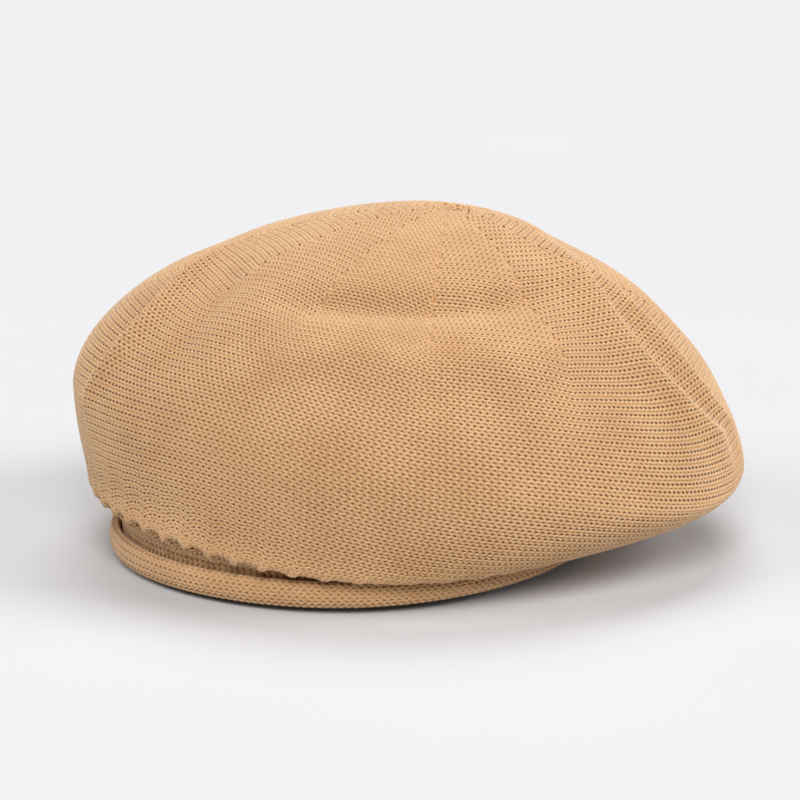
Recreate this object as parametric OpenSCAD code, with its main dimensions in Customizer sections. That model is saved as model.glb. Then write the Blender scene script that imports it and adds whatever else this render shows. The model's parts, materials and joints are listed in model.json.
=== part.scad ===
// Knitted beret with a wide puffed crown and a narrow turned-up double headband.
// The origin is the centre of the head opening, in the plane that the hat rests on.
// +Z is up through the crown, and the crown droops towards +X.

/* [Head opening] */
// Inside diameter of the headband, for a 56.5 cm head
opening_d = 180; // [160:1:200]
// Height of the headband's inner layer, which holds the crown
band_h = 14.5; // [13:0.5:20]
// Height of its turned-up outer layer
cuff_h = 11.5; // [8:0.5:12.5]
// Thickness of one layer of the headband
band_wall = 2.6; // [2:0.1:3]
// Gap between the headband's two layers
band_gap = 1.6; // [1:0.1:3]

/* [Crown] */
// Width of the crown along X
crown_w = 271; // [240:1:280]
// Depth of the crown along Y
crown_d = 244; // [235:1:265]
// Height of the crown's highest point before it tilts
crown_h = 136.5; // [110:0.5:150]
// Height of the widest ring at its middle
widest_z = 55.5; // [50:0.5:62]
// How far the widest ring rises at the back and falls at the front
widest_tilt = 2.5; // [0:0.5:5]
// How far the crown droops towards +X: its fall for each unit of width
droop = 0.08; // [0:0.005:0.1]
// How far the crown's middle sits from the opening's axis, along X
crown_shift_x = 23.5; // [0:0.5:30]
// How far the crown's middle sits from the opening's axis, along Y
crown_shift_y = 12; // [0:1:16]
// Where the knitted wedges meet at the top, along X
centre_x = 39; // [0:1:50]
// Where the knitted wedges meet at the top, along Y
centre_y = 14; // [0:1:18]
// Roundness of the upper profile: 2 is an ellipse, less is more pointed
roundness = 1.7; // [1.5:0.02:2.1]
// Thickness of the knitted fabric
crown_wall = 3; // [2:0.1:4]

/* [Sag on the drooping side] */
// Where the side sags most, in degrees from +X
sag_at = 335; // [300:1:360]
// How far the sag spreads either way, in degrees
sag_spread = 40; // [30:1:60]
// How far it lowers the widest ring
sag_drop = 14.5; // [0:0.5:15]
// How far it draws in the ring where the fabric turns under
sag_in = 14; // [0:0.5:16]
// How far it lowers that ring
sag_low = 5; // [0:0.5:8]

/* [Turn under the crown] */
// Radius of the ring where the fabric turns under
turn_r = 112.5; // [108:1:118]
// How far that ring's middle sits from the opening's axis, along X
turn_shift_x = 10.5; // [0:0.5:16]
// Height of that ring at its middle
turn_z = 21; // [19:0.5:26]
// How far that ring falls towards +X and rises away from it
turn_tilt = 4; // [0:0.5:5]
// How far that ring dips at the front and at the back
turn_dip = 7.5; // [0:0.5:9]

/* [Yarn] */
// Diameter of the seaming yarn
yarn_d = 2; // [1.4:0.1:2.4]
// Diameter of the drawstring's ring at the top, when pulled tight
drawn_d = 12; // [9:0.5:16]
// Length of each cut tail of the drawstring
tail_l = 14; // [10:1:40]
// Diameter of the elastic cord in the headband's fold
elastic_d = 1.2; // [0.8:0.1:1.4]

/* [Hidden] */
knit_colour = "#DEB282";
seam_colour = "#C79A68";
elastic_colour = "#EDE3D3";

opening_r = opening_d / 2;
seam_r = opening_r + band_wall;      // where the crown's lower edge meets the headband
seam_z = band_h + 0.5;
band_out_r = opening_r + 2 * band_wall + band_gap;
fold_r = 2.2;                        // thickness and outer radius of the headband's fold
seam_angle = 92;                     // the seams run down the back, between two wedges
around = 60;                         // facets around the crown
upper_steps = 15;                    // rings from the top to the widest ring
lower_steps = 6;                     // rings from the widest ring to the turn
under_steps = 5;                     // rings from the turn to the headband
rings = upper_steps + lower_steps + under_steps;
first_t = 0.012;                     // the first ring, close round the centre
lower_roundness = 1.65;
chain_stitches = 60;                 // chain stitches around the linking seam

function mix(a, b, u) = a + (b - a) * u;
function smooth(u) = u * u * (3 - 2 * u);

// 1 where the side sags most, falling to 0 away from it.
function sag(a) = let (way = (a - sag_at + 540) % 360 - 180) exp(-pow(way / sag_spread, 2));
// How far the widest ring leaves the drooping plane, at angle a.
function rise(a) = widest_tilt * sin(a) - sag_drop * sag(a);

// The widest ring, the ring where the fabric turns under, and the attached edge, at angle a.
function widest(a) = [
    crown_shift_x + crown_w / 2 * cos(a),
    crown_shift_y + crown_d / 2 * sin(a),
    widest_z - droop * crown_w / 2 * cos(a) + rise(a)
];
function turn(a) =
    let (r = turn_r - sag_in * sag(a))
    [
        turn_shift_x + r * cos(a),
        crown_shift_y + r * sin(a),
        turn_z - turn_tilt * cos(a) - turn_dip * pow(sin(a), 4) - sag_low * sag(a)
    ];
function attach(a) = [seam_r * cos(a), seam_r * sin(a), seam_z];

// The crown's outer surface: t is 0 at the centre, 1 at the widest ring,
// 2 where the fabric turns under and 3 at the headband.
function over(a, t) =
    let (h = pow(sin(90 * t), 2 / roundness), k = pow(cos(90 * t), 2 / roundness),
         w = widest(a), x = mix(centre_x, w.x, h))
    [x, mix(centre_y, w.y, h), mix(widest_z, crown_h, k) - droop * (x - crown_shift_x) + rise(a) * h * h];
function side(a, t) =
    let (h = 1 - pow(cos(90 * t), 2 / lower_roundness), k = pow(sin(90 * t), 2 / lower_roundness),
         w = widest(a), u = turn(a))
    [mix(w.x, u.x, h), mix(w.y, u.y, h), mix(w.z, u.z, k)];
function under(a, t) =
    let (u = turn(a), b = attach(a))
    [mix(u.x, b.x, t), mix(u.y, b.y, t), mix(u.z, b.z, smooth(t))];
function skin(a, t) = t <= 1 ? over(a, t) : t <= 2 ? side(a, t - 1) : under(a, t - 2);

function unit(v) = v / norm(v);
// Outward direction of the surface, from short steps along it.
function outward(a, t) =
    let (e = 0.01, t0 = max(t - e, first_t / 2), t1 = min(t + e, 3))
    unit(cross(skin(a, t1) - skin(a, t0), skin(a + 1, t) - skin(a - 1, t)));
function inset(a, t, depth) = skin(a, t) - depth * outward(a, t);

// The t of each ring, closer together near the centre.
function ring_t(i) =
    i <= upper_steps ? mix(first_t, 1, i / upper_steps)
    : i <= upper_steps + lower_steps ? 1 + (i - upper_steps) / lower_steps
    : 2 + (i - upper_steps - lower_steps) / under_steps;
function ring_a(j) = 360 * j / around;

// A tube through a list of rings of points. Each ring is a closed section.
module tube(sections, closed = false) {
    n = len(sections[0]);
    m = len(sections);
    last = closed ? m : m - 1;
    faces = [
        for (i = [0:last - 1], j = [0:n - 1])
            let (i1 = (i + 1) % m, j1 = (j + 1) % n)
            each [[i * n + j, i1 * n + j, i * n + j1], [i * n + j1, i1 * n + j, i1 * n + j1]]
    ];
    caps = closed ? [] : [[for (j = [0:n - 1]) j], [for (j = [n - 1:-1:0]) (m - 1) * n + j]];
    polyhedron(points = [for (s = sections) each s], faces = concat(faces, caps), convexity = 6);
}

// A round section of radius r at point p, across direction d, with side s as its first axis.
function section(p, d, s, r, sides) =
    let (u = unit(s - (s * unit(d)) * unit(d)), v = cross(unit(d), u))
    [for (k = [0:sides - 1]) p + r * (cos(360 * k / sides) * u + sin(360 * k / sides) * v)];

// The crown: one sideways-knitted fabric from the drawn-up centre to the headband.
module crown() {
    outer = [for (i = [0:rings], j = [0:around - 1]) skin(ring_a(j), ring_t(i))];
    inner = [for (i = [0:rings], j = [0:around - 1]) inset(ring_a(j), ring_t(i), crown_wall)];
    top_out = over(0, 0);
    top_in = top_out - [0, 0, crown_wall];
    count = (rings + 1) * around;
    function at(i, j) = i * around + j % around;
    outer_faces = [
        for (i = [0:rings - 1], j = [0:around - 1])
            each [[at(i, j), at(i, j + 1), at(i + 1, j)], [at(i, j + 1), at(i + 1, j + 1), at(i + 1, j)]]
    ];
    inner_faces = [for (f = outer_faces) [f[0] + count, f[2] + count, f[1] + count]];
    edge_faces = [
        for (j = [0:around - 1])
            each [[at(rings, j), at(rings, j + 1), at(rings, j) + count],
                  [at(rings, j + 1), at(rings, j + 1) + count, at(rings, j) + count]]
    ];
    cap_faces = [
        for (j = [0:around - 1])
            each [[2 * count, at(0, j + 1), at(0, j)], [2 * count + 1, at(0, j) + count, at(0, j + 1) + count]]
    ];
    color(knit_colour)
        polyhedron(
            points = concat(outer, inner, [top_out, top_in]),
            faces = concat(outer_faces, inner_faces, edge_faces, cap_faces),
            convexity = 8
        );
}

// The seam that closes the crown's strip, inside the crown down its back.
module crown_join_seam() {
    steps = 26;
    depth = crown_wall + yarn_d / 2;
    path = [for (i = [0:steps]) inset(seam_angle, mix(0.13, 2.8, i / steps), depth)];
    along = [for (i = [0:steps]) path[min(i + 1, steps)] - path[max(i - 1, 0)]];
    color(seam_colour)
        tube([for (i = [0:steps]) section(path[i], along[i], [1, 0, 0], yarn_d / 2, 8)]);
}

// The yarn that gathers the centre stitches, pulled into a small ring under the fabric.
module drawstring() {
    clear = 0.5;
    color(seam_colour)
        translate(over(0, 0) - [0, 0, crown_wall + yarn_d / 2 + clear])
            rotate([0, atan(droop), 0])
                rotate_extrude($fn = 48)
                    translate([drawn_d / 2, 0])
                        circle(d = yarn_d, $fn = 16);
}

// The drawstring's knot with its two cut tails, hanging inside the crown.
module drawstring_knot() {
    knot_d = 2.2 * yarn_d;
    spread = 12;
    lean = 14;
    color(seam_colour)
        translate(over(0, 0) - [0, 0, crown_wall + 2 * yarn_d])
            union() {
                sphere(d = knot_d, $fn = 24);
                for (way = [-1, 1])
                    rotate([spread * way, lean, 0])
                        translate([way * yarn_d / 3, 0, -tail_l])
                            cylinder(d = yarn_d, h = tail_l, $fn = 16);
            }
}

// The headband: one strip folded double at its foot, so its section is a tall U.
module headband() {
    color(knit_colour)
        rotate_extrude($fn = 180)
            difference() {
                union() {
                    translate([opening_r, 0])
                        square([band_out_r - opening_r - fold_r, band_h]);
                    translate([band_out_r - fold_r, fold_r])
                        circle(r = fold_r, $fn = 32);
                    translate([band_out_r - band_wall, fold_r])
                        square([band_wall, cuff_h - fold_r - band_wall / 2]);
                    translate([band_out_r - band_wall / 2, cuff_h - band_wall / 2])
                        circle(d = band_wall, $fn = 32);
                }
                translate([opening_r + band_wall, fold_r])
                    square([band_gap, band_h]);
            }
}

// The seam that joins the headband's two ends, a short upright rib on its inner layer.
module headband_join_seam() {
    depth = 0.8;
    foot_z = fold_r + elastic_d;
    color(seam_colour)
        rotate([0, 0, seam_angle])
            translate([seam_r + depth / 2, 0, foot_z])
                cylinder(d = depth, h = band_h - 1 - foot_z, $fn = 16);
}

// The chain of yarn that links the crown's lower edge to the headband's inner layer.
module linking_seam() {
    swell = 0.25;
    middle_r = opening_r + band_wall / 2;
    sections = [
        for (i = [0:2 * chain_stitches - 1])
            let (a = 180 * i / chain_stitches, r = yarn_d / 2 * (i % 2 == 0 ? 1 + swell : 1 - swell))
            section([middle_r * cos(a), middle_r * sin(a), band_h + yarn_d / 2],
                    [-sin(a), cos(a), 0], [0, 0, 1], r, 6)
    ];
    color(seam_colour)
        tube(sections, closed = true);
}

// The elastic cord that lies in the fold of the headband.
module elastic_cord() {
    color(elastic_colour)
        translate([0, 0, fold_r + elastic_d / 2])
            rotate_extrude($fn = 120)
                translate([opening_r + band_wall + band_gap / 2, 0])
                    circle(d = elastic_d, $fn = 16);
}

crown();
crown_join_seam();
drawstring();
drawstring_knot();
headband();
headband_join_seam();
linking_seam();
elastic_cord();
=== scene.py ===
"""A knitted beret: sideways-knitted crown, turned-up double headband, seams, drawstring and elastic.

Lengths are in millimetres until a mesh is made. The crown's form repeats part.scad's formula.
"""

import json
import math

import bpy
import numpy as np
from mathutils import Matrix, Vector


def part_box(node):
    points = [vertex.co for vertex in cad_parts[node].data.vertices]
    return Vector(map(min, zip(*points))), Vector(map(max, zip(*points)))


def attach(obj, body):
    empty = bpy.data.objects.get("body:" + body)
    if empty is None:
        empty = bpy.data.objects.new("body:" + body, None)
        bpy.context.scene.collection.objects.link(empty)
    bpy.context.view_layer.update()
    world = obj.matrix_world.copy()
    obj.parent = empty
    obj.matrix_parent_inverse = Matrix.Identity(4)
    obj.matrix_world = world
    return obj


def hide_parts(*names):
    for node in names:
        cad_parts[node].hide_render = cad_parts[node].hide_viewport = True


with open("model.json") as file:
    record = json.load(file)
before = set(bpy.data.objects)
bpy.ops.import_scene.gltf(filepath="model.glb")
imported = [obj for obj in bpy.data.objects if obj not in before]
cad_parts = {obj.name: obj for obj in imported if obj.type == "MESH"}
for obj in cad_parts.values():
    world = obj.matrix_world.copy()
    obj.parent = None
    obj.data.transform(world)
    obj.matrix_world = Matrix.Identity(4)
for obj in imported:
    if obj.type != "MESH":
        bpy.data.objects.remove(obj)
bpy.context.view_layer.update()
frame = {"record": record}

MM = 0.001
TAU = 2 * math.pi

# ---------------------------------------------------------------- sizes from the frame


def box_mm(node):
    low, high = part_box(node)
    return np.array(low) / MM, np.array(high) / MM


crown_low, crown_high = box_mm("crown")
band_low, band_high = box_mm("headband")
opening = next(m for m in frame["record"]["mounts"] if m["name"] == "head_opening")

OPENING_R = opening["dims"]["r_mm"]
BAND_H = band_high[2]
CROWN_RX, CROWN_RY = (crown_high[:2] - crown_low[:2]) / 2
SHIFT_X, SHIFT_Y = (crown_high[:2] + crown_low[:2]) / 2

# The rest of the crown's form, as in part.scad. The sag is the droop of its edge at the front right.
CROWN_H = 136.5
WIDEST_Z, WIDEST_TILT = 55.5, 2.5
DROOP = 0.08
CENTRE_X, CENTRE_Y = 39.0, 14.0
TURN_R, TURN_SHIFT_X, TURN_Z, TURN_TILT, TURN_DIP = 112.5, 10.5, 21.0, 4.0, 7.5
SAG_AT, SAG_SPREAD, SAG_DROP, SAG_IN, SAG_LOW = 335.0, 40.0, 14.5, 14.0, 5.0
SEAM_R, SEAM_Z = OPENING_R + 2.6, BAND_H + 0.5
ROUNDNESS, LOWER_ROUNDNESS = 1.7, 1.65

# The knitting.
WEDGES = 12
COURSES = 25  # courses in each wedge
WALES = 74  # stitches from the centre to the headband
SHORT_ROWS_END = 105.0  # how far from the centre the short rows reach
FIRST_WEDGE = math.radians(2)
HALF_WEDGE = math.pi / WEDGES
YARN_R = 0.66  # across the fabric's face
YARN_DEPTH_R = 0.52  # through the fabric's thickness
LOOP_LEAN = 0.23  # sideways swing of a loop's legs, in wales
LOOP_REACH = 0.62  # half a loop's height, in courses
LOOP_DEPTH = 0.50
MID_DEPTH = 1.3  # the fabric's middle lies this far under the outer form
STEPS = 10  # points along one stitch
SIDES = 6
SHORT_ROW_EASE = 0.12  # how far past the wedge's edge each short row starts, in courses
CENTRE_WALE = 0.75  # where the innermost courses start
CORE_DEPTH = 0.2  # how far under the fabric's middle its inner fibres lie
TURN_DEPTH = 1.6  # how far under the fabric's middle the yarn passes from one short row to the next

# ---------------------------------------------------------------- helpers


def smooth(x):
    x = np.clip(x, 0, 1)
    return x * x * (3 - 2 * x)


def mix(a, b, t):
    return a + (b - a) * t


def unit(v):
    return v / np.maximum(np.linalg.norm(v, axis=-1, keepdims=True), 1e-12)


def mesh_object(name, points, faces, uv=None):
    """A smooth mesh from points in millimetres and faces of equal size, with optional UVs per point."""
    mesh = bpy.data.meshes.new(name)
    faces = np.asarray(faces, np.int32)
    count, corners = faces.shape
    mesh.vertices.add(len(points))
    mesh.vertices.foreach_set("co", (np.asarray(points, np.float32) * MM).ravel())
    mesh.loops.add(count * corners)
    mesh.loops.foreach_set("vertex_index", faces.ravel())
    mesh.polygons.add(count)
    mesh.polygons.foreach_set("loop_start", np.arange(0, count * corners, corners, dtype=np.int32))
    mesh.update(calc_edges=True)
    mesh.polygons.foreach_set("use_smooth", np.ones(count, bool))
    if uv is not None:
        layer = mesh.uv_layers.new(name="yarn")
        layer.data.foreach_set("uv", np.asarray(uv, np.float32)[faces.ravel()].ravel())
    mesh.validate()
    obj = bpy.data.objects.new(name, mesh)
    bpy.context.scene.collection.objects.link(obj)
    return obj


# ---------------------------------------------------------------- the crown's form


def around(phi, deg, width):
    """1 at deg round the crown, fading either way: to about a third at width degrees."""
    return np.exp(-((((np.degrees(phi) - deg + 180) % 360 - 180) / width) ** 2))


def plain_crown(phi, t):
    """Outer form: t is 0 at the centre, 1 where widest, 2 where it turns under, 3 at the headband."""
    c, s = np.cos(phi), np.sin(phi)
    sag = around(phi, SAG_AT, SAG_SPREAD)
    wx, wy = SHIFT_X + CROWN_RX * c, SHIFT_Y + CROWN_RY * s
    rise = WIDEST_TILT * s - SAG_DROP * sag
    wz = WIDEST_Z - DROOP * CROWN_RX * c + rise
    turn_r = TURN_R - SAG_IN * sag
    ux, uy = TURN_SHIFT_X + turn_r * c, SHIFT_Y + turn_r * s
    uz = TURN_Z - TURN_TILT * c - TURN_DIP * s**4 - SAG_LOW * sag
    a = np.clip(t, 0, 1) * math.pi / 2
    h, k = np.sin(a) ** (2 / ROUNDNESS), np.cos(a) ** (2 / ROUNDNESS)
    x, y = mix(CENTRE_X, wx, h), mix(CENTRE_Y, wy, h)
    z = mix(WIDEST_Z, CROWN_H, k) - DROOP * (x - SHIFT_X) + rise * h**2
    b = np.clip(t - 1, 0, 1) * math.pi / 2
    h, k = 1 - np.cos(b) ** (2 / LOWER_ROUNDNESS), np.sin(b) ** (2 / LOWER_ROUNDNESS)
    low = t > 1
    x = np.where(low, mix(wx, ux, h), x)
    y = np.where(low, mix(wy, uy, h), y)
    z = np.where(low, mix(wz, uz, k), z)
    q = np.clip(t - 2, 0, 1)
    under = t > 2
    x = np.where(under, mix(ux, SEAM_R * c, q), x)
    y = np.where(under, mix(uy, SEAM_R * s, q), y)
    z = np.where(under, mix(uz, SEAM_Z, smooth(q)), z)
    return np.stack([x, y, z], -1)


GRID_PHI = 720
GRID_S = 480


def crown_grid():
    """Points of the crown's outer form, even in angle and in arc length from the centre.
    Also each meridian's length, and how much of it lies before the turn."""
    phi = np.arange(GRID_PHI) / GRID_PHI * TAU
    t = np.linspace(0, 3, 1500)
    points = plain_crown(phi[:, None], t[None, :])
    step = np.linalg.norm(np.diff(points, axis=1), axis=-1)
    arc = np.concatenate([np.zeros((GRID_PHI, 1)), np.cumsum(step, 1)], 1)
    out = np.empty((GRID_PHI, GRID_S + 1, 3))
    fraction = np.linspace(0, 1, GRID_S + 1)
    for j in range(GRID_PHI):
        for axis in range(3):
            out[j, :, axis] = np.interp(fraction * arc[j, -1], arc[j], points[j, :, axis])
    turn = np.array([np.interp(2.0, t, one) for one in arc])
    return out, arc[:, -1], turn / arc[:, -1]


def grid_normals(grid):
    du = np.roll(grid, -1, 0) - np.roll(grid, 1, 0)
    dv = np.gradient(grid, axis=1)
    n = unit(np.cross(dv, du))
    n[:, 0] = unit(n[:, 1].mean(0))
    return n


grid, meridian, turn_share = crown_grid()
normals = grid_normals(grid)
LENGTH = float(meridian.mean())
turn_arc = turn_share[:, None] * LENGTH
WALE = LENGTH / WALES  # wale spacing along a meridian

grid_deg = np.arange(GRID_PHI)[:, None] / GRID_PHI * 360
grid_arc = np.linspace(0, LENGTH, GRID_S + 1)[None, :]
grid_r = np.maximum(np.hypot(grid[..., 0] - CENTRE_X, grid[..., 1] - CENTRE_Y), 4)


def turn_from(deg):
    """Signed degrees round the crown from deg."""
    return (grid_deg - deg + 180) % 360 - 180


def beside(start, middle, end):
    """Millimetres sideways from the curve through three places, each (degrees, arc from the centre)."""
    arc = np.clip(grid_arc, start[1], end[1])
    before = (middle[0] - start[0]) / (middle[1] - start[1])
    after = (end[0] - middle[0]) / (end[1] - middle[1])
    bend = (after - before) / (end[1] - start[1])
    return np.radians(turn_from(start[0] + (arc - start[1]) * (before + bend * (arc - middle[1])))) * grid_r


def reach(start, end, before, rise, after, fall):
    """1 from one place's arc to another's. It grows over rise millimetres, from before millimetres ahead of
    the first, and fades over fall millimetres, until after millimetres past the second."""
    return smooth((grid_arc - start[1] + before) / rise) * smooth((end[1] + after - grid_arc) / fall)


def fold(start, middle, end, width, height, crease=1.5):
    """A fold through three places. Height under 0 is a valley; crease rounds its top."""
    across = beside(start, middle, end)
    ends = reach(start, end, before=10, rise=20, after=14, fall=28)
    return height * np.exp((crease - np.hypot(across, crease)) / width) * ends


PLEAT_BACK = 1.7  # how many times narrower a pleat's back slope is than the hollow behind it


def pleat(start, middle, end, front, back, height, drop, behind=1):
    """A fold that leans: it rises softly in front and falls behind into a hollow, back millimetres on.
    Behind is 1 where that is the way the degrees grow, and -1 where it is the other way."""
    across = behind * beside(start, middle, end)
    ends = reach(start, end, before=6, rise=38, after=26, fall=56)
    past = np.maximum(across, 0) / back
    ridge = np.where(across < 0, np.exp(-((across / front) ** 2)), np.exp(-((PLEAT_BACK * past) ** 2)))
    return (height * ridge - drop * past * np.exp(1 - past)) * ends


def bump(deg, arc, width, length, height):
    """A soft round swell, or a hollow, width round the crown and length out from the centre."""
    across = np.radians(turn_from(deg)) * grid_r
    return height * np.exp(-((across / width) ** 2) - ((grid_arc - arc) / length) ** 2)


def sweep(start, end, width, height):
    """A long soft swell, or a hollow, running round the crown from start to end, each (degrees, arc)."""
    share = turn_from(start[0]) / (end[0] - start[0])
    arc = mix(start[1], end[1], np.clip(share, 0, 1))
    ends = smooth((share + 0.1) / 0.3) * smooth((1.1 - share) / 0.3)
    return height * np.exp(-(((grid_arc - arc) / width) ** 2)) * ends


GATHERS_UNDER = 5.0  # how far past the turn the tucks fade


def gathers(deg, width, length, count, height):
    """How far small tucks side by side along the turn hang down, count of them in the whole ring."""
    turn = np.radians(grid_deg)
    tuck = (turn / TAU * count + 0.35 * np.sin(3 * turn + 0.7)) % 1
    wave = 0.5 * np.sin(TAU * tuck - 0.7 * np.cos(TAU * tuck))
    past = grid_arc - turn_arc
    fade = past / np.where(past < 0, length, GATHERS_UNDER)
    return height * wave * np.exp(-((turn_from(deg) / width) ** 2) - fade**2)


lift = (
    # the crease over the left shoulder, with the hollow in front of it
    pleat((180, 80), (200, 120), (200, 170), front=8, back=10, height=4.4, drop=4.0, behind=-1)
    + fold((205, 90), (216, 120), (218, 150), 9, -2.4, 4)
    # the two pleats over the right shoulder
    + pleat((350, 35), (325, 90), (341, 140), front=11, back=15, height=5.0, drop=3.6)
    + pleat((360, 40), (342, 90), (352, 140), front=9, back=14, height=4.4, drop=3.0)
    # the hollow across the front under the top, and the full shoulder below it
    + sweep((230, 103), (315, 66), width=9, height=-3.7)
    + sweep((240, 128), (315, 96), width=11, height=2.4)
    # the back and the far side, which rumple the same way
    + fold((62, 60), (58, 90), (66, 130), 6, 3.0, 2.5)
    + fold((72, 70), (69, 92), (72, 118), 7, -2.6, 3)
    + fold((122, 74), (127, 105), (130, 140), 6, 2.8, 2.5)
    + bump(96, 104, 34, 13, -2.8)
    + bump(24, 104, 26, 14, -2.4)
    + bump(146, 100, 26, 13, -2.2)
    + bump(92, 128, 60, 14, 1.8)
    # the full top, and the full shoulders beside the folds
    + 1.6 * np.exp(-((grid_arc / 56) ** 2))
    + bump(352, 96, 42, 32, 3.6)
    + bump(184, 112, 30, 26, 1.6)
    + bump(190, 150, 30, 22, 1.6)
    # the pucker where the wedges meet
    + bump(0, 0, 9, 6, -2.6)
)
grid = grid + normals * lift[..., None]

# The gathers where the crown is drawn in to the headband, and its edge, which hangs over at the left.
HANG_OUT = 0.4  # how far a tuck stands out, for each millimetre that it hangs
EDGE_OVERHANG, EDGE_DEG, EDGE_SPREAD = 3.4, 225, 48
EDGE_BEFORE_TURN, EDGE_WIDTH = 2, 7
hang = gathers(222, 42, 16, 58, 2.4) + gathers(75, 70, 12, 60, 1.5) + gathers(300, 40, 10, 60, 0.8)
outward = np.radians(grid_deg)
edge = ((grid_arc - turn_arc + EDGE_BEFORE_TURN) / EDGE_WIDTH) ** 2
overhang = HANG_OUT * hang + EDGE_OVERHANG * np.exp(-((turn_from(EDGE_DEG) / EDGE_SPREAD) ** 2) - edge)
grid[..., 0] += overhang * np.cos(outward)
grid[..., 1] += overhang * np.sin(outward)
grid[..., 2] -= hang
normals = grid_normals(grid)


def on_crown(phi, arc):
    """Point and outward normal on the crown's outer form, at arc millimetres from the centre."""
    u = (phi / TAU % 1) * GRID_PHI
    v = np.clip(arc / LENGTH, 0, 1) * GRID_S
    iu = np.floor(u).astype(int)
    iv = np.minimum(np.floor(v).astype(int), GRID_S - 1)
    fu, fv = (u - iu)[..., None], (v - iv)[..., None]
    iu0, iu1 = iu % GRID_PHI, (iu + 1) % GRID_PHI
    found = []
    for field in (grid, normals):
        low = mix(field[iu0, iv], field[iu1, iv], fu)
        high = mix(field[iu0, iv + 1], field[iu1, iv + 1], fu)
        found.append(mix(low, high, fv))
    return found[0], unit(found[1])


# ---------------------------------------------------------------- yarn


def tube(centre, across_of, half_width, half_depth, sides=SIDES):
    """A tube along centre, drawn to a point at both ends. across_of sets which way its depth lies."""
    along = unit(np.gradient(centre, axis=0))
    taper = np.ones(len(centre))
    taper[[0, -1]] = 0.02
    side = unit(np.cross(along, across_of))
    face = np.cross(side, along)
    angle = np.arange(sides) / sides * TAU
    ring = (
        np.cos(angle)[None, :, None] * side[:, None] * np.reshape(half_width * taper, (-1, 1, 1))
        + np.sin(angle)[None, :, None] * face[:, None] * np.reshape(half_depth * taper, (-1, 1, 1))
    )
    points = (centre[:, None] + ring).reshape(-1, 3)
    n = len(centre)
    i = np.arange(n - 1)[:, None] * sides
    j = np.arange(sides)[None, :]
    j1 = (j + 1) % sides
    faces = np.stack([i + j, i + j1, i + sides + j1, i + sides + j], -1).reshape(-1, 4)
    length = np.concatenate([[0], np.cumsum(np.linalg.norm(np.diff(centre, axis=0), axis=1))])
    uv = np.stack([np.repeat(length, sides), np.tile(angle / TAU, n)], -1)
    return points, faces, uv


def loops(first, last, course, reverse, lean=LOOP_LEAN, reach=LOOP_REACH):
    """Path of one course: wale position, course position and depth, from wale first to wale last."""
    at = np.linspace(first, last, int(round(STEPS * (last - first))) + 1)
    tau = TAU * at
    path = np.stack(
        [at + lean * np.sin(2 * tau), course + reach * np.cos(tau), -LOOP_DEPTH * np.cos(2 * tau)], -1
    )
    return path[::-1] if reverse else path


PITCH = SHORT_ROWS_END * math.tan(HALF_WEDGE) / (COURSES / 2)
ROW_SHIFT = SHORT_ROWS_END / (COURSES / 2) / WALE  # wales that each short row is shorter


def crown_lattice(wale, row):
    """Angle from the wedge's middle, and arc from the centre, of a place in the wedge's lattice."""
    x = wale * WALE
    angle = np.arctan2(row * PITCH, np.minimum(np.maximum(x, 0.5), SHORT_ROWS_END))
    straight = 1 - smooth((x - 0.8 * SHORT_ROWS_END) / (0.6 * SHORT_ROWS_END))
    return angle, x * mix(1, 1 / np.cos(angle), straight)


def wedge_yarn(k):
    """One wedge of the crown, as one continuous yarn going out and back course by course."""
    paths = []
    for n in range(COURSES):
        row = n - (COURSES - 1) / 2
        first = max((abs(row) + SHORT_ROW_EASE) * ROW_SHIFT, CENTRE_WALE)
        course = loops(first, WALES, row, reverse=n % 2 == 0)
        under = np.array([[first, row, -TURN_DEPTH]])
        paths += [course, under] if n % 2 == 0 else [under, course]
    path = np.concatenate(paths)
    angle, arc = crown_lattice(path[:, 0], path[:, 1])
    phi = FIRST_WEDGE + HALF_WEDGE * (2 * k + 1) + angle
    point, normal = on_crown(phi, arc)
    centre = point + normal * (path[:, 2:3] - MID_DEPTH)
    return centre, normal


def knit_wedge(k):
    centre, normal = wedge_yarn(k)
    return mesh_object(f"crown_knit_{k:02d}", *tube(centre, normal, YARN_R, YARN_DEPTH_R))


def core_sheet(name, surface, places, inset=0.0):
    """A plain closed ring of cloth on a surface, through places along it, inset from it."""
    phi, place = np.meshgrid(np.arange(360) / 360 * TAU, places, indexing="ij")
    point, normal = surface(phi, place)
    rows, cols = phi.shape
    i = np.arange(rows)[:, None]
    j = np.arange(cols - 1)[None, :]
    i1 = (i + 1) % rows
    faces = np.stack([i * cols + j, i * cols + j + 1, i1 * cols + j + 1, i1 * cols + j], -1).reshape(-1, 4)
    return mesh_object(name, (point - inset * normal).reshape(-1, 3), faces)


crown_pieces = [knit_wedge(k) for k in range(WEDGES)]
crown_fabric = core_sheet("crown_fabric", on_crown, np.linspace(1, LENGTH, 200), MID_DEPTH + CORE_DEPTH)


# ---------------------------------------------------------------- headband

BAND_COURSES = 212
BAND_WALES = 10
BAND_YARN_R = 0.60
BAND_LEAN, BAND_REACH = 0.30, 0.72
# Radius and height of the cloth's middle: down the inner layer, round the fold, and up to the rolled lip.
band_inner = [(91.5, 15.0), (91.3, 9.0), (91.5, 4.0)]
band_foot = [(92.3, 1.9), (93.8, 1.2), (95.4, 2.2)]
band_outer = [(96.3, 4.6), (96.4, 7.4), (95.9, 9.8)]
band_lip = [(95.0, 11.2), (94.0, 10.9), (93.7, 9.4)]


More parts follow.
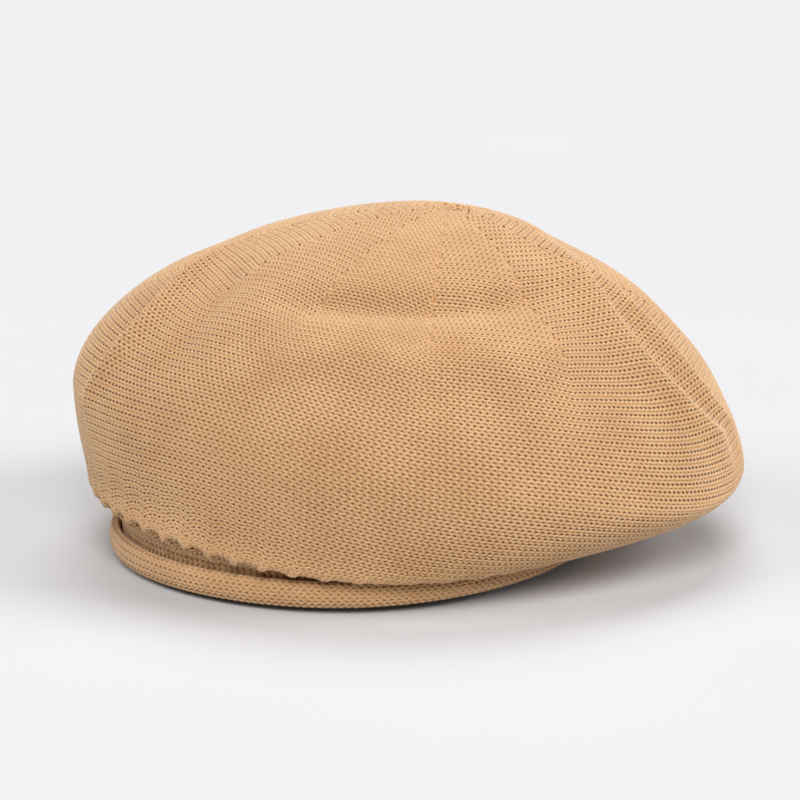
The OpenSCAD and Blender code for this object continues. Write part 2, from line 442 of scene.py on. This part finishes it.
def curve_through(points, count):
    """Evenly spaced points on a smooth curve through a short list of points."""
    points = np.asarray(points, float)
    padded = np.vstack([2 * points[0] - points[1], points, 2 * points[-1] - points[-2]])
    t = np.linspace(0, 1, 24, endpoint=False)[:, None]
    parts = []
    for a, b, c, d in zip(padded, padded[1:], padded[2:], padded[3:], strict=False):
        square, cube = 2 * a - 5 * b + 4 * c - d, 3 * b - a - 3 * c + d
        parts.append(0.5 * (2 * b + (c - a) * t + square * t**2 + cube * t**3))
    fine = np.vstack([*parts, points[-1:]])
    arc = np.concatenate([[0], np.cumsum(np.linalg.norm(np.diff(fine, axis=0), axis=1))])
    even = np.linspace(0, arc[-1], count)
    return np.stack([np.interp(even, arc, fine[:, k]) for k in range(fine.shape[1])], -1)


FOLD_AT = 0.42  # how far along that curve its lowest point is
BAND_RISE = 5.0  # how far the band's foot lifts at the front right, under the crown
BAND_RISE_LEFT = 1.4  # and at the left of the front
RISE_FADES_AT = 22.0  # the height where the lift would be used up
band_curve = curve_through(band_inner + band_foot + band_outer + band_lip, 400)
band_tangent = unit(np.gradient(band_curve, axis=0))


def on_band(phi, fraction):
    """Point and outward normal on the cloth's middle: fraction 0 at the linking seam, 1 at the lip."""
    v = np.clip(fraction, 0, 1) * (len(band_curve) - 1)
    k = np.arange(len(band_curve))
    r, z = np.interp(v, k, band_curve[:, 0]), np.interp(v, k, band_curve[:, 1])
    tr, tz = np.interp(v, k, band_tangent[:, 0]), np.interp(v, k, band_tangent[:, 1])
    rise = BAND_RISE * around(phi, 330, 55) + BAND_RISE_LEFT * around(phi, 232, 40)
    z = z + rise * (1 - z / RISE_FADES_AT)
    c, s = np.cos(phi), np.sin(phi)
    point = np.stack([r * c, r * s, z], -1)
    normal = unit(np.stack([tz * c, tz * s, -tr], -1))
    return point, normal


def band_yarn(first, last):
    paths = [loops(0, BAND_WALES, n, n % 2 == 0, BAND_LEAN, BAND_REACH) for n in range(first, last)]
    path = np.concatenate(paths)
    phi = path[:, 1] / BAND_COURSES * TAU
    point, normal = on_band(phi, path[:, 0] / BAND_WALES)
    return point + normal * path[:, 2:3], normal


band_pieces = []
for half in range(2):
    first = half * BAND_COURSES // 2
    centre, normal = band_yarn(first, first + BAND_COURSES // 2)
    knitted = tube(centre, -normal, BAND_YARN_R, YARN_DEPTH_R)
    band_pieces.append(mesh_object(f"headband_knit_{half}", *knitted))
band_fabric = core_sheet("headband_fabric", on_band, np.linspace(0, 1, 60))


# ---------------------------------------------------------------- seams, drawstring and elastic


def strand(name, centre, radius, sides=8):
    """A round yarn along centre."""
    across = np.cross(unit(np.gradient(centre, axis=0)), (0.31, 0.42, 0.85))
    return mesh_object(name, *tube(centre, across, radius, radius, sides))


def joined(name, parts):
    """One object from several, each a mesh_object."""
    bpy.ops.object.select_all(action="DESELECT")
    for part in parts:
        part.select_set(True)
    bpy.context.view_layer.objects.active = parts[0]
    bpy.ops.object.join()
    parts[0].name = name
    return parts[0]


def frame_along(centre):
    """Two directions across a path, square to it and to each other, that turn smoothly along it."""
    along = unit(np.gradient(centre, axis=0))
    first = np.cross(along[0], (0.2, 0.3, 1.0))
    sides = []
    for direction in along:
        first = first - direction * float(first @ direction)
        first = first / np.linalg.norm(first)
        sides.append(first)
    sides = np.array(sides)
    return sides, np.cross(along, sides)


def plied(name, centre, radius, lay, plies=2):
    """A cord of a few plies twisted round centre, with one full turn every lay millimetres."""
    length = np.concatenate([[0], np.cumsum(np.linalg.norm(np.diff(centre, axis=0), axis=1))])
    side, other = frame_along(centre)
    parts = []
    for ply in range(plies):
        turn = (length / lay * TAU + ply / plies * TAU)[:, None]
        path = centre + radius * 0.5 * (np.cos(turn) * side + np.sin(turn) * other)
        parts.append(strand(f"{name}_{ply}", path, radius * 0.56))
    return joined(name, parts)


def whipped(name, centre, radius, pitch, yarn_r):
    """Overcast stitches: a yarn wound round a line with one stitch every pitch millimetres."""
    length = np.concatenate([[0], np.cumsum(np.linalg.norm(np.diff(centre, axis=0), axis=1))])
    side, other = frame_along(centre)
    turn = (length / pitch * TAU)[:, None]
    path = centre + radius * (np.cos(turn) * side + np.sin(turn) * other)
    return strand(name, path, yarn_r)


SEAM_DEG = 92.0  # the strip's ends join between two wedges, down the back

SEAM_TURN = math.radians(SEAM_DEG)

# The chain that links the crown's edge to the headband's inner layer.
LINKS = 150
LINK_LEAN, LINK_SWING, LINK_LIFT, LINK_WAVE = 0.42, 0.85, 0.45, 0.35
tau = np.linspace(0, TAU * LINKS, LINKS * 16 + 1)
link_phi = (tau / TAU + LINK_LEAN * np.sin(2 * tau + 0.6)) / LINKS * TAU
link_middle, link_out = on_band(link_phi, np.zeros_like(link_phi))
link_swing = LINK_SWING * np.sin(tau)[:, None] * link_out
link_rise = np.stack([np.zeros_like(tau), np.zeros_like(tau), LINK_LIFT + LINK_WAVE * np.cos(2 * tau)], -1)
linking_chain = strand("linking_seam_yarn", link_middle + link_swing + link_rise, radius=0.48)

# The whip-stitched join inside the crown.
JOIN_UNDER = 2.6  # how far under the fabric's middle the join lies
join_arc = np.linspace(0.13 * LENGTH, 0.93 * LENGTH, 2400)
join_point, join_out = on_crown(np.full_like(join_arc, SEAM_TURN), join_arc)
join_line = join_point - join_out * (MID_DEPTH + JOIN_UNDER)
crown_join = whipped("crown_join_yarn", join_line, radius=0.75, pitch=3.1, yarn_r=0.42)

# The same join on the headband's inner layer.
BAND_JOIN_OUT = 1.25  # how far the join lies behind that layer's middle
rib_at = np.linspace(0.03, 0.36, 400)
rib_point, _ = on_band(np.full_like(rib_at, SEAM_TURN), rib_at)
rib_way = np.array([math.cos(SEAM_TURN), math.sin(SEAM_TURN), 0])
rib_line = rib_point + rib_way * BAND_JOIN_OUT
band_join = whipped("headband_join_yarn", rib_line, radius=0.42, pitch=2.4, yarn_r=0.30)

# The drawstring's ring under the centre, and its knot and tails.
DRAWSTRING_LAY = 4.2
pull_low, pull_high = box_mm("drawstring")
pull_middle = (pull_low + pull_high) / 2
pull_r = (pull_high[1] - pull_low[1]) / 2 - 1
tau = np.linspace(0, TAU, 361)
ring = pull_middle + pull_r * np.stack([np.cos(tau), np.sin(tau), -DROOP * np.cos(tau)], -1)
ring[:, 2] += 0.35 * np.sin(9 * tau)
drawstring_yarn = plied("drawstring_yarn", ring, radius=0.95, lay=DRAWSTRING_LAY)

knot_low, knot_high = box_mm("drawstring_knot")
KNOT_HALF, KNOT_SIZE = 2.3, 0.62
knot_middle = np.array([*(knot_low[:2] + knot_high[:2]) / 2, knot_high[2] - KNOT_HALF])
tau = np.linspace(0, TAU, 241)
trefoil = KNOT_SIZE * np.stack(
    [np.sin(tau) + 2 * np.sin(2 * tau), np.cos(tau) - 2 * np.cos(2 * tau), -1.3 * np.sin(3 * tau)], -1
)
tail_length = knot_high[2] - knot_low[2] - 4.5


def knot_tail(way):
    """A tail that leaves the knot and hangs, curling a little to one side, way, or the other."""
    down = np.linspace(0, 1, 120)[:, None]
    out = way * (2.6 * down + 0.8 * np.sin(3.5 * down))
    back = way * 1.4 * np.sin(2.2 * down)
    start = knot_middle + np.array([1.2 * way, 0.7 * way, -1.0])
    return start + np.concatenate([out, back, -tail_length * down], 1)


tails = [
    plied(f"knot_tail_{n}", knot_tail(way), radius=0.85, lay=DRAWSTRING_LAY) for n, way in enumerate((-1, 1))
]
knot_yarn = joined("drawstring_knot_yarn", [strand("knot_loop", knot_middle + trefoil, radius=0.72), *tails])

# The elastic in the headband's fold, with its woven cover.
elastic_low, elastic_high = box_mm("elastic_cord")
elastic_r = (elastic_high[2] - elastic_low[2]) / 2
tau = np.linspace(0, TAU, 1441)
fold_inner, fold_out = on_band(tau, np.full_like(tau, FOLD_AT))
elastic_path = fold_inner - fold_out * (YARN_DEPTH_R + LOOP_DEPTH + elastic_r + 0.1)
CORE_SHARE, COVER_SHARE, COVER_YARN_SHARE = 0.86, 0.84, 0.26  # of the cord's radius
elastic_parts = [strand("elastic_core", elastic_path, elastic_r * CORE_SHARE)]
elastic_side, elastic_other = frame_along(elastic_path)
WRAPS = 130  # turns of the woven cover round the whole cord
for way in (-1, 1):
    for n in range(3):
        turn = (way * tau * WRAPS + n * TAU / 3)[:, None]
        round_it = np.cos(turn) * elastic_side + np.sin(turn) * elastic_other
        wrap = elastic_path + elastic_r * COVER_SHARE * round_it
        elastic_parts.append(strand(f"elastic_wrap_{way}_{n}", wrap, elastic_r * COVER_YARN_SHARE, sides=4))
elastic = joined("elastic_cover", elastic_parts)


# ---------------------------------------------------------------- materials


def srgb(r, g, b):
    return tuple(((c / 255 + 0.055) / 1.055) ** 2.4 if c > 10 else c / 255 / 12.92 for c in (r, g, b))


def new_material(name, roughness=0.9, specular=0.2, sheen=0.0):
    """A material with its shader, and a function that adds a node with its inputs set or linked."""
    m = bpy.data.materials.new(name)
    m.use_nodes = True
    tree = m.node_tree
    shader = tree.nodes["Principled BSDF"]
    shader.inputs["Roughness"].default_value = roughness
    shader.inputs["Specular IOR Level"].default_value = specular
    shader.inputs["Sheen Weight"].default_value = sheen
    shader.inputs["Sheen Roughness"].default_value = 0.5
    shader.inputs["Sheen Tint"].default_value = (1.0, 0.93, 0.82, 1)

    def add(kind, inputs=None, **settings):
        node = tree.nodes.new("ShaderNode" + kind)
        for key, value in settings.items():
            setattr(node, key, value)
        for key, value in (inputs or {}).items():
            if isinstance(value, bpy.types.NodeSocket):
                tree.links.new(value, node.inputs[key])
            else:
                node.inputs[key].default_value = value
        return node

    def link(value, socket):
        tree.links.new(value, shader.inputs[socket])

    return m, shader, add, link


def two_tones(add, factor, dark, light, low=0.3, high=0.7):
    """A colour between two, by a factor stretched from low to high."""
    ramp = add("ValToRGB", {"Fac": factor})
    ramp.color_ramp.elements[0].position, ramp.color_ramp.elements[0].color = low, (*dark, 1)
    ramp.color_ramp.elements[1].position, ramp.color_ramp.elements[1].color = high, (*light, 1)
    return ramp.outputs["Color"]


def yarn(name, dark, light, ply=1.9):
    """Soft two-ply yarn: twisted plies by bump, heathered colour, and a matt fuzzy sheen."""
    m, shader, add, link = new_material(name, roughness=0.95, specular=0.15, sheen=0.55)
    place = add("TexCoord").outputs["Object"]
    broad = add("TexNoise", {"Vector": place, "Scale": 45.0, "Detail": 3.0}).outputs["Fac"]
    fine = add("TexNoise", {"Vector": place, "Scale": 900.0, "Detail": 2.0}).outputs["Fac"]
    both = add("Math", {0: broad, 1: fine}, operation="ADD").outputs[0]
    half = add("Math", {0: both, 1: 0.5}, operation="MULTIPLY").outputs[0]
    colour = two_tones(add, half, dark, light, 0.36, 0.62)
    along = add("SeparateXYZ", {"Vector": add("UVMap", uv_map="yarn").outputs["UV"]})
    turns = add("Math", {0: along.outputs["X"], 1: 1 / ply}, operation="MULTIPLY").outputs[0]
    phase = add("Math", {0: turns, 1: along.outputs["Y"]}, operation="ADD").outputs[0]
    twist = add("Math", {0: phase, 1: 2 * TAU}, operation="MULTIPLY").outputs[0]
    wave = add("Math", {0: twist}, operation="SINE")
    height = add("Math", {0: wave.outputs[0], 1: 0.35, 2: fine}, operation="MULTIPLY_ADD").outputs[0]
    bump_node = add("Bump", {"Height": height, "Strength": 0.5, "Distance": 0.0002})
    link(colour, "Base Color")
    link(bump_node.outputs["Normal"], "Normal")
    return m


def felt_core(name, dark, light):
    """The inner fibres that show between the loops. Their colour is the yarn's made darker and warmer:
    painted shade in the holes.
    """
    m, shader, add, link = new_material(name, roughness=1.0, specular=0.05)
    place = add("TexCoord").outputs["Object"]
    noise = add("TexNoise", {"Vector": place, "Scale": 700.0, "Detail": 3.0}).outputs["Fac"]
    link(two_tones(add, noise, dark, light), "Base Color")
    link(add("Bump", {"Height": noise, "Strength": 0.6, "Distance": 0.0003}).outputs["Normal"], "Normal")
    return m


def floor_surface(name, dark, light, glow):
    m, shader, add, link = new_material(name, roughness=0.8)
    place = add("TexCoord").outputs["Object"]
    noise = add("TexNoise", {"Vector": place, "Scale": 3.0, "Detail": 2.0}).outputs["Fac"]
    link(two_tones(add, noise, dark, light), "Base Color")
    # the floor glows faintly white: painted light that lifts the shadows on it
    shader.inputs["Emission Color"].default_value = (1, 1, 1, 1)
    shader.inputs["Emission Strength"].default_value = glow
    return m


yarn_material = yarn("camel_yarn", srgb(192, 148, 102), srgb(205, 164, 118))
seam_material = yarn("seam_yarn", srgb(180, 133, 86), srgb(198, 153, 106))
# the core's colours are the yarn's made darker and warmer: painted shade between the loops
core_shade_material = felt_core("yarn_core", srgb(182, 132, 80), srgb(198, 150, 96))
elastic_material = yarn("elastic_cover", srgb(226, 215, 196), srgb(240, 231, 216))
# the last argument is the floor's glow, painted light on it
floor_material = floor_surface("pale_floor", srgb(200, 200, 202), srgb(202, 202, 204), 0.01)

for piece in (*crown_pieces, *band_pieces):
    piece.data.materials.append(yarn_material)
for piece in (crown_fabric, band_fabric):
    piece.data.materials.append(core_shade_material)
seam_pieces = (linking_chain, crown_join, band_join, drawstring_yarn, knot_yarn)
for piece in seam_pieces:
    piece.data.materials.clear()
    piece.data.materials.append(seam_material)
elastic.data.materials.clear()
elastic.data.materials.append(elastic_material)

# ---------------------------------------------------------------- stage, light, camera

FLOOR_SIZE = 12
bpy.ops.mesh.primitive_plane_add(size=FLOOR_SIZE, location=(0, 0, 0))
floor = bpy.context.object
floor.name = "floor"
floor.data.materials.append(floor_material)

world = bpy.data.worlds.new("studio")
bpy.context.scene.world = world
world.use_nodes = True
background = world.node_tree.nodes["Background"]
background.inputs["Color"].default_value = (0.985, 0.99, 1.0, 1)
background.inputs["Strength"].default_value = 0.03
bpy.context.scene.view_settings.view_transform = "Standard"


def soft_sun(name, towards, strength, spread):
    """A distant soft light that shines from the direction towards, as wide as spread degrees."""
    light = bpy.data.lights.new(name, "SUN")
    light.energy = strength
    light.angle = math.radians(spread)
    obj = bpy.data.objects.new(name, light)
    obj.rotation_euler = Vector(towards).to_track_quat("Z", "Y").to_euler()
    bpy.context.scene.collection.objects.link(obj)


soft_sun("front", (0.0, -1.0, 0.92), strength=2.4, spread=34)
soft_sun("right", (1.0, -0.15, 0.62), strength=2.0, spread=34)
soft_sun("left", (-1.0, -0.25, 0.85), strength=0.9, spread=34)
soft_sun("back", (0.0, 0.55, 1.0), strength=1.6, spread=36)

TARGET = Vector((19.6, 0, 60.0)) * MM
ELEVATION = math.radians(14)
DISTANCE = 1.4
camera = bpy.data.cameras.new("camera")
camera.sensor_width = 36
camera.lens = 157.5
camera_object = bpy.data.objects.new("camera", camera)
bpy.context.scene.collection.objects.link(camera_object)
camera_object.location = TARGET + Vector((0, -math.cos(ELEVATION), math.sin(ELEVATION))) * DISTANCE
camera_object.rotation_euler = (math.pi / 2 - ELEVATION, 0, 0)
bpy.context.scene.camera = camera_object

# ---------------------------------------------------------------- the body each piece hangs from, and the frame's parts that are hidden

for piece in (crown_fabric, band_fabric, *crown_pieces, *band_pieces, *seam_pieces, elastic):
    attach(piece, "root")
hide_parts("crown")
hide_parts("headband")
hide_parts("linking_seam")
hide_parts("crown_join_seam")
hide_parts("headband_join_seam")
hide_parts("drawstring")
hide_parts("drawstring_knot")
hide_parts("elastic_cord")
